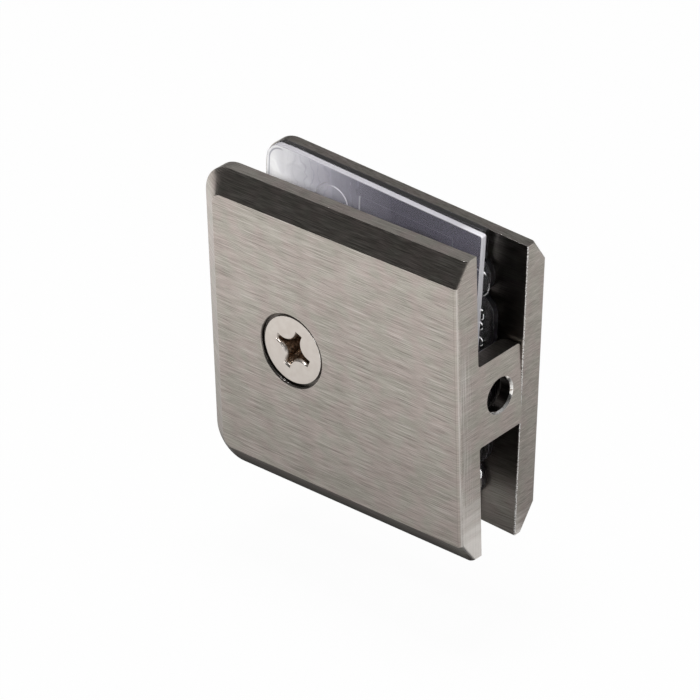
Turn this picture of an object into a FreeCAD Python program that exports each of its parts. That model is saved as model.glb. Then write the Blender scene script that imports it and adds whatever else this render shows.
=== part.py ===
import FreeCAD, Part
import math
import os

# Glass clamp of U form for a panel that meets a wall: two bevelled plates face each other across
# a slot, a web on the first plate takes the wall screw, one countersunk screw pulls the plates
# together, and two clear moulded gaskets hang on that screw to cushion the glass.
#
# Millimetres. The origin is the centre of the wall screw's hole where it meets the wall. +X points
# into the wall, -Y is the room side that shows the screw head, +Z is up. Y is 0 mid-slot.

V = FreeCAD.Vector
ALONG_X = V(1, 0, 0)
ALONG_Y = V(0, 1, 0)
ALONG_Z = V(0, 0, 1)

# Plates
plate_width = 50.8           # from the wall to the free edge
plate_height = 50.8
plate_thick = 4.7
corner_radius = 5.3          # the two free corners, in outline
bevel_width = 3.5            # of the bevel, seen from the front
bevel_depth = 2.5            # of the bevel, seen from the side
wall_edge_round = 0.7        # softened outer edge that runs down the wall side
rear_width = 49.6            # of the rear plate, which stops short of the free edge
rear_corner_radius = 5.0
rear_bevel_width = 4.0
rear_bevel_depth = 2.8

# Slot and web
slot_width = 9.6             # between the plates, and so the length of the web
web_height = 13.7
web_depth = 3.4              # from the wall side inwards
web_corner_round = 1.5       # upright corner beside the glass
web_top_round = 0.8          # broken edges of the face that the rear plate rests on
web_bottom_round = 0.25
web_root = 0.5               # fillet where the web grows out of the plate

# Hole for the wall screw
wall_bore_radius = 2.67
wall_bore_chamfer = 0.33
wall_head_radius = 4.0       # countersink for the wall screw's flat head, on the glass side

# Clamp screw with a flat head and a cross recess
screw_from_wall = 32.5
screw_radius = 3.0
head_radius = 5.575
head_land = 0.35             # straight edge of the head
head_recess = 0.35           # the head lies this much below the plate's face
tip_chamfer = 0.6
cross_half_span = 3.2        # centre to the end of an arm, at the head's face
cross_half_arm = 0.5
cross_root_round = 1.7       # curve between two arms, at the head's face
cross_depth = 3.0
cross_wall_angle = 26.5      # lean of the arm ends, in degrees
cross_point_radius = 0.8     # shallow cone at the bottom of the cross
cross_point_depth = 0.4
cross_turn = -23.0           # how far the screw happens to be turned, in degrees

# Fits round the clamp screw
pocket_gap = 0.43            # round the head, in the mouth of the countersink
pocket_rim = 0.2             # broken edge of that mouth
head_clearance = 0.08        # between the head's cone and its seat
shank_clearance = 0.3        # in the front plate
thread_clearance = 0.05      # in the rear plate
blind_skin = 1.0             # metal left behind the blind thread
tip_gap = 0.3                # from the screw's tip to the bottom of the blind thread
thread_mouth_chamfer = 0.4

# Gaskets
gasket_thick = 1.1
gasket_free_inset = 1.65     # from the rear plate's free edge
gasket_overhang = 0.15       # past the plate's top and bottom
gasket_corner_radius = 4.3
gasket_wall_corner = 0.4
gasket_hole_clearance = 0.4
front_gasket_wall_inset = 7.35
rear_gasket_wall_inset = 4.8

# Marks moulded into a gasket, placed from the screw's axis
mark_depth = 0.15
disc_mark_radius = 3.3
disc_mark_offset = 2.5       # towards the free edge
disc_mark_from_end = 5.8     # from the gasket's top or bottom
disc_rim = 0.45
label_mark_start = 2.5       # of the long flat field, towards the wall
label_mark_length = 17.6
label_mark_height = 6.8
label_mark_from_end = 2.5

# Scalloped wall side of the rear gasket
ear_radius = 3.35
ear_from_end = 7.65          # height of the ear's centre below the gasket's top
ear_inset = 4.2              # its centre, in from the straight middle stretch
ear_step_inset = 2.35        # the short top stretch, in from the straight middle stretch
ear_end_angle = -65.0        # where the ear's curve ends in a notch, in degrees
scallop_reach = 3.4          # of the curve from that notch down to the middle stretch

# How the loose pieces sit: all have swung about the screw, wall side down, and with no glass in
# the slot they lean on the web's rounded corner, the free side drawn towards the front plate
rear_swing = 3.6             # degrees, of the rear plate and its gasket
front_gasket_swing = 4.3
lean_angle = 1.35

overshoot = 1.0              # how far a cutter reaches past the metal

# Worked out from the sizes above
half_slot = slot_width / 2
half_height = plate_height / 2
outer_face = half_slot + plate_thick
screw_x = -screw_from_wall
screw_axis_point = V(screw_x, 0, 0)
head_face_y = -outer_face + head_recess
tap_floor_y = outer_face - blind_skin
gasket_half_height = half_height + gasket_overhang
gasket_hole_radius = screw_radius + gasket_hole_clearance

# The leaning plate crosses the screw's axis at the middle of its thread, and its inner face
# touches the round on the web, which brings the thread nearer to the front plate by lean_drop
lean = math.radians(lean_angle)
thread_middle = V(screw_x, (half_slot + tap_floor_y) / 2, 0)
web_round_centre = V(-web_depth + web_corner_round, half_slot - web_corner_round, 0)
to_thread = thread_middle - web_round_centre
face_offset = math.cos(lean) * to_thread.y - math.sin(lean) * to_thread.x + half_slot - thread_middle.y
lean_drop = (face_offset - web_corner_round) / math.cos(lean)


def mirror_y(shape):
    return shape.mirror(V(0, 0, 0), ALONG_Y)


def hung(shape, swing):
    """Swings a loose piece about the screw, then leans it on the web's rounded corner."""
    turned = shape.copy()
    turned.rotate(screw_axis_point, ALONG_Y, swing)
    turned.rotate(thread_middle, ALONG_Z, lean_angle)
    turned.translate(V(0, -lean_drop, 0))
    return turned


def line(start, end):
    return Part.LineSegment(start, end).toShape()


def arc(start, middle, end):
    return Part.Arc(start, middle, end).toShape()


def corner_arc(centre, radius, first_angle, y):
    """Quarter circle in a plane of constant Y, angles from +X towards +Z."""
    def at(degrees):
        turn = math.radians(degrees)
        return V(centre[0] + radius * math.cos(turn), y, centre[1] + radius * math.sin(turn))
    return arc(at(first_angle), at(first_angle + 45), at(first_angle + 90))


def plate_outline(width, corner, inset, y):
    """Outline of a plate, drawn in on the three bevelled sides; the wall side stays put."""
    radius = corner - inset
    left = -width + inset
    top = half_height - inset
    centre_x = left + radius
    centre_z = top - radius
    return Part.Wire([
        line(V(0, y, -top), V(0, y, top)),
        line(V(0, y, top), V(centre_x, y, top)),
        corner_arc((centre_x, centre_z), radius, 90, y),
        line(V(left, y, centre_z), V(left, y, -centre_z)),
        corner_arc((centre_x, -centre_z), radius, 180, y),
        line(V(centre_x, y, -top), V(0, y, -top)),
    ])


def bevelled_plate(width, corner, slope_width, slope_depth):
    """Plate on the room side: flat inner face, outer face bevelled round three sides."""
    land_y = -outer_face + slope_depth
    foot = plate_outline(width, corner, 0, land_y)
    face = plate_outline(width, corner, slope_width, -outer_face)
    land = Part.Face(foot).extrude(V(0, plate_thick - slope_depth, 0))
    bevel = Part.makeLoft([foot, face], True, True)
    plate = land.fuse(bevel).removeSplitter().Solids[0]

    def is_outer_wall_edge(edge):
        on_wall_side = all(abs(vertex.X) < 1e-6 for vertex in edge.Vertexes)
        return on_wall_side and edge.CenterOfMass.y < land_y - 1e-6

    edges = [edge for edge in plate.Edges if is_outer_wall_edge(edge)]
    return plate.makeFillet(wall_edge_round, edges)


def edges_along(shape, direction, point):
    """Straight edges of a shape that run along a direction through a point."""
    def fits(edge):
        if edge.Curve.TypeId != "Part::GeomLine":
            return False
        parallel = edge.tangentAt(edge.FirstParameter).cross(direction).Length < 1e-6
        return parallel and (edge.CenterOfMass - point).cross(direction).Length < 1e-6
    return [edge for edge in shape.Edges if fits(edge)]


def web():
    """Web that spans the slot, with the broken edges of its free end."""
    half_web = web_height / 2
    size = (web_depth, slot_width, web_height)
    block = Part.makeBox(*size, V(-web_depth, -half_slot, -half_web))
    upright = edges_along(block, ALONG_Z, V(-web_depth, half_slot, 0))
    block = block.makeFillet(web_corner_round, upright)
    for side, radius in ((1, web_top_round), (-1, web_bottom_round)):
        reach = -(web_depth - web_corner_round) / 2
        edges = edges_along(block, ALONG_X, V(reach, half_slot, side * half_web))
        block = block.makeFillet(radius, edges)
    return block


def wall_bore():
    """Cutter for the wall screw: chamfered mouth, plain hole, countersink on the glass side."""
    sink_depth = wall_head_radius - wall_bore_radius
    hole = Part.makeCylinder(wall_bore_radius, web_depth + 2 * overshoot, V(overshoot, 0, 0), -ALONG_X)
    mouth_radius = wall_bore_radius + wall_bore_chamfer
    mouth = Part.makeCone(mouth_radius, wall_bore_radius, wall_bore_chamfer, V(0, 0, 0), -ALONG_X)
    sink = Part.makeCone(wall_head_radius, wall_bore_radius, sink_depth, V(-web_depth, 0, 0), ALONG_X)
    return hole.fuse([mouth, sink])


def revolved(profile):
    """Solid of revolution about the clamp screw's axis, from (radius, y) points."""
    points = [V(screw_x + radius, y, 0) for radius, y in profile]
    points.append(points[0])
    return Part.Face(Part.makePolygon(points)).revolve(screw_axis_point, ALONG_Y, 360)


def screw_seat():
    """Cutter for the head: straight pocket, 90 degree seat and clearance hole."""
    pocket_radius = head_radius + pocket_gap
    hole_radius = screw_radius + shank_clearance
    seat_y = head_face_y + head_land + head_clearance
    rim_y = -outer_face + pocket_rim
    end_y = -half_slot + overshoot
    return revolved([
        (0, -outer_face),
        (pocket_radius + pocket_rim, -outer_face),
        (pocket_radius, rim_y),
        (pocket_radius, seat_y),
        (head_radius, seat_y),
        (hole_radius, seat_y + head_radius - hole_radius),
        (hole_radius, end_y),
        (0, end_y),
    ])


def tapped_hole():
    """Cutter for the blind thread in the rear plate, opened at its mouth."""
    radius = screw_radius + thread_clearance
    return revolved([
        (0, half_slot),
        (radius + thread_mouth_chamfer, half_slot),
        (radius, half_slot + thread_mouth_chamfer),
        (radius, tap_floor_y),
        (0, tap_floor_y),
    ])


def front_plate():
    """Front plate and web, one piece; the root fillet goes in before any hole is cut."""
    plate = bevelled_plate(plate_width, corner_radius, bevel_width, bevel_depth)
    body = plate.fuse(web()).removeSplitter().Solids[0]
    roots = edges_along(body, ALONG_Z, V(-web_depth, -half_slot, 0))
    for side in (1, -1):
        roots += edges_along(body, ALONG_X, V(-web_depth / 2, -half_slot, side * web_height / 2))
    return body.makeFillet(web_root, roots).cut([wall_bore(), screw_seat()])


def back_plate():
    """Rear plate: a like plate turned round, with a blind thread for the screw."""
    plate = bevelled_plate(rear_width, rear_corner_radius, rear_bevel_width, rear_bevel_depth)
    return hung(mirror_y(plate).cut(tapped_hole()), rear_swing)


def cross_outline(share, y):
    """Cross with rounded inner corners, centred on the screw, at a share of its full size."""
    half_span = cross_half_span * share
    half_arm = cross_half_arm * share
    bend = half_arm + cross_root_round * share
    nearest = bend - cross_root_round * share / math.sqrt(2)
    edges = []
    corners = [(bend, -half_arm), (half_span, -half_arm), (half_span, half_arm),
               (bend, half_arm), (nearest, nearest), (half_arm, bend)]
    for quarter in range(4):
        turn = math.radians(cross_turn + 90 * quarter)
        spots = [V(screw_x + x * math.cos(turn) - z * math.sin(turn), y,
                   x * math.sin(turn) + z * math.cos(turn)) for x, z in corners]
        edges += [line(spots[0], spots[1]), line(spots[1], spots[2]), line(spots[2], spots[3])]
        edges.append(arc(spots[3], spots[4], spots[5]))
    return Part.Wire(edges)


def cross_recess():
    """Cutter for the driver recess: four leaning arms down to a shallow cone."""
    floor_y = head_face_y + cross_depth
    floor_half_span = cross_half_span - cross_depth * math.tan(math.radians(cross_wall_angle))
    arms = Part.makeLoft([cross_outline(1, head_face_y),
                          cross_outline(floor_half_span / cross_half_span, floor_y)], True, True)
    floor_centre = V(screw_x, floor_y, 0)
    point = Part.makeCone(cross_point_radius, 0, cross_point_depth, floor_centre, ALONG_Y)
    return arms.fuse(point)


def clamp_screw():
    """Flat-headed screw from the head's face to its tip inside the rear plate."""
    cone_top = head_face_y + head_land
    tip_y = tap_floor_y - lean_drop - tip_gap
    body = revolved([
        (0, head_face_y),
        (head_radius, head_face_y),
        (head_radius, cone_top),
        (screw_radius, cone_top + head_radius - screw_radius),
        (screw_radius, tip_y - tip_chamfer),
        (screw_radius - tip_chamfer, tip_y),
        (0, tip_y),
    ])
    return body.cut(cross_recess())


def gasket_side(left, right, y):
    """Left side, top and bottom of a gasket, open on the wall side."""
    top = gasket_half_height
    radius = gasket_corner_radius
    centre_x = left + radius
    centre_z = top - radius
    return [
        line(V(right, y, top), V(centre_x, y, top)),
        corner_arc((centre_x, centre_z), radius, 90, y),
        line(V(left, y, centre_z), V(left, y, -centre_z)),
        corner_arc((centre_x, -centre_z), radius, 180, y),
        line(V(centre_x, y, -top), V(right, y, -top)),
    ]


def straight_wall_side(right, y):
    """Plain wall side of the front gasket."""
    top = gasket_half_height
    return [line(V(right, y, -top), V(right, y, top))]


def scalloped_wall_side(right, y):
    """Wall side of the rear gasket: an ear near each end and a long straight middle."""
    ear_x = right - ear_inset
    ear_z = gasket_half_height - ear_from_end
    step_x = right - ear_step_inset
    step_z = ear_z + math.sqrt(ear_radius ** 2 - (step_x - ear_x) ** 2)
    notch_turn = math.radians(ear_end_angle)
    notch_x = ear_x + ear_radius * math.cos(notch_turn)
    notch_z = ear_z + ear_radius * math.sin(notch_turn)

    # The curve below the notch runs into the middle stretch without a corner
    inset = right - notch_x
    radius = (inset ** 2 + scallop_reach ** 2) / (2 * inset)
    half_turn = math.atan2(scallop_reach, radius - inset) / 2
    foot_z = notch_z - scallop_reach
    bulge = (right - radius + radius * math.cos(half_turn), foot_z + radius * math.sin(half_turn))
    upper = [
        (step_x, gasket_half_height),
        (step_x, step_z),
        (ear_x + ear_radius, ear_z),
        (notch_x, notch_z),
        bulge,
        (right, foot_z),
    ]
    top = [V(x, y, z) for x, z in upper]
    low = [V(x, y, -z) for x, z in upper]
    return [
        line(low[0], low[1]),
        arc(low[1], low[2], low[3]),
        arc(low[3], low[4], low[5]),
        line(low[5], top[5]),
        arc(top[5], top[4], top[3]),
        arc(top[3], top[2], top[1]),
        line(top[1], top[0]),
    ]


def moulded_marks(y):
    """Cutters for the shallow marks: a ringed disc and a long flat field near each end."""
    marks = []
    disc_z = gasket_half_height - disc_mark_from_end
    label_z = gasket_half_height - label_mark_from_end - label_mark_height
    for side in (1, -1):
        centre = V(screw_x - disc_mark_offset, y, side * disc_z)
        outer = Part.makeCylinder(disc_mark_radius, mark_depth, centre, ALONG_Y)
        inner = Part.makeCylinder(disc_mark_radius - disc_rim, mark_depth, centre, ALONG_Y)
        marks.append(outer.cut(inner))
        low_z = label_z if side > 0 else -label_z - label_mark_height
        corner = V(screw_x + label_mark_start, y, low_z)
        marks.append(Part.makeBox(label_mark_length, mark_depth, label_mark_height, corner))
    return marks


def gasket(wall_inset, top_right_inset, wall_side, front_y):
    """Moulded sheet with its screw hole and marks, its front face at front_y."""
    left = -rear_width + gasket_free_inset
    right = -wall_inset
    edges = gasket_side(left, right - top_right_inset, front_y) + wall_side(right, front_y)
    outline = Part.Wire(Part.__sortEdges__(edges))
    sheet = Part.Face(outline).extrude(V(0, gasket_thick, 0))
    hole = Part.makeCylinder(gasket_hole_radius, gasket_thick, V(screw_x, front_y, 0), ALONG_Y)
    return sheet.cut([hole] + moulded_marks(front_y))


def front_gasket():
    """Gasket on the glass side of the pair, with square corners beside the wall, softened."""
    front_y = half_slot - 2 * gasket_thick
    sheet = gasket(front_gasket_wall_inset, 0, straight_wall_side, front_y)
    corners = []
    for end in (1, -1):
        place = V(-front_gasket_wall_inset, 0, end * gasket_half_height)
        corners += edges_along(sheet, ALONG_Y, place)
    return hung(sheet.makeFillet(gasket_wall_corner, corners), front_gasket_swing)


def rear_gasket():
    """Gasket that lies on the rear plate."""
    front_y = half_slot - gasket_thick
    sheet = gasket(rear_gasket_wall_inset, ear_step_inset, scalloped_wall_side, front_y)
    return hung(sheet, rear_swing)


parts = {
    "front_plate": front_plate(),
    "back_plate": back_plate(),
    "clamp_screw": clamp_screw(),
    "front_gasket": front_gasket(),
    "rear_gasket": rear_gasket(),
}

os.makedirs("parts", exist_ok=True)
for name, shape in parts.items():
    solid = shape.Solids[0]
    if len(shape.Solids) != 1 or not solid.isValid():
        raise SystemExit(name + " is not one valid solid")
    solid.exportStep("parts/" + name + ".step")
    print(name, round(solid.Volume, 1), "mm3")
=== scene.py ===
import math

import bmesh
import bpy
from mathutils import Matrix, Vector


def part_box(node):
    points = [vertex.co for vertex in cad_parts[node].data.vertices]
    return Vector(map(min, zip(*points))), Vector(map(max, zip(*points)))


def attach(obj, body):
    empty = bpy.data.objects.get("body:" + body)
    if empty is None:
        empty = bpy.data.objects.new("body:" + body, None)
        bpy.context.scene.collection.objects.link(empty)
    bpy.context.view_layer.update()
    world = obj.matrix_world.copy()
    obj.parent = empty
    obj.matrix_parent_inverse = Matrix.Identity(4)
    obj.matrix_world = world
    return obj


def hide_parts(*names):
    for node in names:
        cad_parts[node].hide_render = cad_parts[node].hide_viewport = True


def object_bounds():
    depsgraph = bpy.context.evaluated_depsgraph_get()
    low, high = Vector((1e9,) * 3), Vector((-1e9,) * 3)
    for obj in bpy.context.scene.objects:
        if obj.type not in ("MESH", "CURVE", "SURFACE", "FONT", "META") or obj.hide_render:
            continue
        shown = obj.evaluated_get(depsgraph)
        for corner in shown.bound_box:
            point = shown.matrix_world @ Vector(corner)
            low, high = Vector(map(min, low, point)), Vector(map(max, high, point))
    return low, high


# Looks of a glass clamp of U form. Metres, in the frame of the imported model: the origin is the
# wall screw's hole at the wall, +X into the wall, -Y the room side with the screw head, +Z up.

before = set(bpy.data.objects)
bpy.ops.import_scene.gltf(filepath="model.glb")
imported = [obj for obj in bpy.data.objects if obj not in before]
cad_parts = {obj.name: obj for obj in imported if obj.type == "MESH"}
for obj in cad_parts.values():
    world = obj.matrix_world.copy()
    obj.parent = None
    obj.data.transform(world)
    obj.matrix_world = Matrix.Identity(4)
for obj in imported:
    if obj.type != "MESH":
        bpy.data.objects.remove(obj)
cad_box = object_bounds()


# Front plate and web
# One machined piece of solid metal, nickel plated after brushing: the grain runs along X on the
# faces and bevels, and across the square end. Its sharp edges are broken by a light polish.

plate_edge_round = 0.00011
plate_sharp_angle = math.radians(31)
shading_angle = math.radians(40)
round_steps = 2
weld_distance = 0.000002
flat_angle = math.radians(0.2)

# Chamfer of the wall screw's hole: its reach from the axis, and how far its faces lean
bore_mouth = 0.0031
mouth_lean = (0.3, 0.95)

nickel_light = (0.575, 0.525, 0.485, 1)
nickel_dark = (0.405, 0.368, 0.335, 1)
nickel_shine = (0.76, 0.71, 0.67, 1)
# The edge tone is the polish of worn edges and also paints highlight and light; the nick tone also paints a
# shade line
nickel_polish_and_highlight = (0.90, 0.87, 0.84, 1)
nickel_nick_and_shade = (0.20, 0.175, 0.155, 1)
mouth_shine = (0.98, 0.97, 0.95, 1)
tint_rose = (1.03, 0.985, 0.995, 1)
tint_green = (0.97, 1.01, 0.975, 1)
satin_roughness = (0.28, 0.40)
edge_roughness = (0.38, 0.26)
mouth_roughness = 0.14
brush_direction = (1, 0, 0)
brush_pull = 0.45
streak_relief = 0.000008
nick_relief = 0.000014

# Brush lines: length, width, step of the seed, slant
streak_lines = (0.0070, 0.00009, 0, 0.0)
shine_lines = (0.0075, 0.00009, 5, 0.0)
hair_lines = (0.0026, 0.00010, 3, 0.0)
patch_lines = (0.016, 0.0020, 7, 0.0)
scratch_lines = (0.0040, 0.00012, 11, 0.16)
front_seed = 0.0
grain_detail = 1.5
end_grain = 1.6
streak_span, streak_share = (0.52, 0.66), 0.66
scratch_span, scratch_share = (0.62, 0.72), 0.60
hair_span, hair_share = (0.43, 0.57), 0.70
patch_span = (0.35, 0.65)
tint_span, tint_scale, tint_detail = (0.38, 0.62), 330.0, 1.0
nick_size, nick_span = (0.0007, 0.00035), (0.38, 0.62)
turned_size, turned_span, turned_seed = (0.0009, 0.00030), (0.36, 0.46), 80.0

# What a face looks towards: the least or most share of its normal
end_facing = 0.8
side_facing = 0.3
top_facing = 0.9
under_facing = -0.3
upright_facing = 0.1
off_end_facing = 0.5

# Painted shade line and painted highlight line, upright on the rounded outer edge: where on the round, how
# wide, how strong
shade_line_at, shade_line_span, shade_line_share = 0.22, (0.05, 0.16), 0.28
highlight_line_at, highlight_line_span, highlight_line_share = 0.80, (0.06, 0.14), 0.30

# Painted light over the foot of the wall side, and bright upright strokes beside the outer edge
front_lit_foot = (-0.011, -0.021)
lit_foot_share = 0.9
lit_foot_waver = 0.004
stroke_scale = (1, 5200, 90)
stroke_span = (0.36, 0.64)
stroke_low = 0.75
stroke_heavy, stroke_share = (0.45, 0.9), 0.45
stroke_side = (-0.0058, -0.0076)
stroke_height = (0.016, 0.006)

# Painted light and shade on the bevels that face down: darker inwards, lighter towards the outer faces and
# towards the wall
under_depth, under_light_levels = (0.0094, 0.0071), (1.55, 0.50)
under_wall, under_wall_light = (-0.007, 0.0), 1.5

# Faces inside the slot and round the screw head, where the light doesn't reach
slot_shade = 0.36
slot_facing = -0.003
slot_free_side = (-0.046, -0.037)
slot_foot, slot_foot_shade = (-0.0215, -0.0165), 0.80
web_side = 0.00475
screw_axis = -0.0325
pocket_shade = 0.30
pocket_reach = 0.0063
pocket_span = (-0.0094, -0.0045)
top_shade = 0.93


def add(tree, kind, sockets=None, **settings):
    """Adds a shader node; a socket's value is a constant or another node's output."""
    node = tree.nodes.new("ShaderNode" + kind)
    for name, value in settings.items():
        setattr(node, name, value)
    for name, value in (sockets or {}).items():
        if isinstance(value, bpy.types.NodeSocket):
            tree.links.new(value, node.inputs[name])
        else:
            node.inputs[name].default_value = value
    return node


def math_node(tree, operation, first, second=None):
    """One sum, product or comparison of values."""
    sockets = {0: first} if second is None else {0: first, 1: second}
    return add(tree, "Math", sockets, operation=operation).outputs[0]


def product(tree, first, second):
    """Two values multiplied."""
    return math_node(tree, "MULTIPLY", first, second)


def blend_colours(tree, share, first, second):
    """Colour between two colours."""
    return add(tree, "Mix", {0: share, 6: first, 7: second}, data_type="RGBA").outputs[2]


def stretch(tree, value, from_low, from_high, low=0.0, high=1.0):
    """Maps a value from one range to another, clamped."""
    sockets = {0: value, 1: from_low, 2: from_high, 3: low, 4: high}
    return add(tree, "MapRange", sockets).outputs[0]


def scaled(tree, colour, factor):
    """Colour or point times a factor."""
    return add(tree, "VectorMath", {0: colour, "Scale": factor}, operation="SCALE").outputs[0]


def by_axis(tree, coordinate):
    """X, Y and Z of a texture coordinate: Object for the place, Normal for what it faces."""
    return add(tree, "SeparateXYZ", {0: add(tree, "TexCoord").outputs[coordinate]}).outputs


def new_group(name, given, made):
    """Empty shader group, its named inputs and its named outputs."""
    tree = bpy.data.node_groups.new(name, "ShaderNodeTree")
    for socket in given:
        tree.interface.new_socket(socket, in_out="INPUT", socket_type="NodeSocketFloat")
    for socket in made:
        kind = "NodeSocketColor" if socket == "Colour" else "NodeSocketFloat"
        tree.interface.new_socket(socket, in_out="OUTPUT", socket_type=kind)
    return tree, tree.nodes.new("NodeGroupInput").outputs, tree.nodes.new("NodeGroupOutput").inputs


def brush_grain_group():
    """Brush lines, longer than they are wide: along X, and along Y on the faces that look along X."""
    tree, given, made = new_group("brush_grain", ("Length", "Width", "Slant", "Seed"), ("Lines",))
    spot, facing = by_axis(tree, "Object"), by_axis(tree, "Normal")
    on_end = math_node(tree, "GREATER_THAN", math_node(tree, "ABSOLUTE", facing[0]), end_facing)
    on_edge = math_node(tree, "LESS_THAN", math_node(tree, "ABSOLUTE", facing[1]), side_facing)
    run = add(tree, "Mix", {0: on_end, 2: spot[0], 3: spot[1]}, data_type="FLOAT").outputs[0]
    side = add(tree, "Mix", {0: on_end, 2: product(tree, spot[1], on_edge), 3: spot[0]},
               data_type="FLOAT").outputs[0]
    climb = math_node(tree, "ADD", spot[2], product(tree, run, given["Slant"]))
    along = math_node(tree, "DIVIDE", run, given["Length"])
    across = math_node(tree, "DIVIDE", side, given["Width"])
    upward = math_node(tree, "DIVIDE", climb, given["Width"])
    point = add(tree, "CombineXYZ", {0: along, 1: across, 2: upward}).outputs[0]
    point = scaled(tree, point, stretch(tree, on_end, 0.0, 1.0, 1.0, end_grain))
    moved = add(tree, "VectorMath", {0: point, 1: given["Seed"]}, operation="ADD").outputs[0]
    noise = add(tree, "TexNoise", {"Vector": moved, "Scale": 1.0, "Detail": grain_detail}).outputs[0]
    tree.links.new(noise, made["Lines"])
    return tree


brush_grain = brush_grain_group()


def grain(tree, length, width, seed, slant=0.0):
    """Brush lines of one size, from 0 to 1."""
    values = {"Length": length, "Width": width, "Slant": slant, "Seed": seed}
    return add(tree, "Group", values, node_tree=brush_grain).outputs["Lines"]


def inside_slot(tree, spot, facing, web_reach):
    """1 on the faces that look into the slot, and on the web's sides within reach of mid-slot."""
    inward = math_node(tree, "LESS_THAN", product(tree, facing[1], spot[1]), slot_facing)
    near = math_node(tree, "LESS_THAN", math_node(tree, "ABSOLUTE", spot[1]), web_reach)
    off_end = math_node(tree, "LESS_THAN", facing[0], off_end_facing)
    return math_node(tree, "MAXIMUM", inward, product(tree, near, off_end))


def inside_pocket(tree, spot):
    """1 on the countersink round the clamp screw."""
    flat = add(tree, "CombineXYZ", {0: math_node(tree, "SUBTRACT", spot[0], screw_axis), 1: spot[2]})
    reach = add(tree, "VectorMath", {0: flat.outputs[0]}, operation="LENGTH").outputs[1]
    near = math_node(tree, "LESS_THAN", reach, pocket_reach)
    sunk = product(tree, math_node(tree, "GREATER_THAN", spot[1], pocket_span[0]),
                   math_node(tree, "LESS_THAN", spot[1], pocket_span[1]))
    return product(tree, near, sunk)


def painted_edge_line(tree, facing, at, span, share):
    """Upright painted line on the rounded outer edge, where its normal passes one direction; it makes the
    painted shade line and the painted highlight line.
    """
    upright = math_node(tree, "LESS_THAN", math_node(tree, "ABSOLUTE", facing[2]), upright_facing)
    off_line = math_node(tree, "ABSOLUTE", math_node(tree, "SUBTRACT", facing[0], at))
    return product(tree, upright, stretch(tree, off_line, *span, share, 0.0))


def lit_foot_and_strokes(tree, place, spot, facing, patches, given):
    """Share of painted light on the wall side over its foot, and of bright strokes at one edge."""
    upright = add(tree, "Mapping", {"Vector": place, "Scale": stroke_scale}).outputs[0]
    strokes = add(tree, "TexNoise", {"Vector": upright, "Scale": 1.0, "Detail": grain_detail}).outputs[0]
    strokes = stretch(tree, strokes, *stroke_span)
    height = math_node(tree, "ADD", spot[2], product(tree, patches, lit_foot_waver))
    low = stretch(tree, height, given["Lit Foot Start"], given["Lit Foot Full"], 0.0, lit_foot_share)
    low = product(tree, low, stretch(tree, strokes, 0.0, 1.0, stroke_low, 1.0))
    beside = product(tree, stretch(tree, spot[1], *stroke_side),
                     stretch(tree, strokes, *stroke_heavy, 0.0, stroke_share))
    beside = product(tree, beside, stretch(tree, spot[2], *stroke_height))
    lit_foot = math_node(tree, "MAXIMUM", low, product(tree, beside, given["Strokes"]))
    return product(tree, lit_foot, math_node(tree, "GREATER_THAN", facing[0], end_facing))


def underside_painted_light(tree, spot, facing):
    """How light the bevels that face down are, as painted light and shade; 1 elsewhere."""
    below = math_node(tree, "LESS_THAN", facing[2], under_facing)
    towards_edge = stretch(tree, math_node(tree, "ABSOLUTE", spot[1]), *under_depth, *under_light_levels)
    towards_wall = stretch(tree, spot[0], *under_wall, 1.0, under_wall_light)
    return stretch(tree, below, 0.0, 1.0, 1.0, product(tree, towards_edge, towards_wall))


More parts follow.
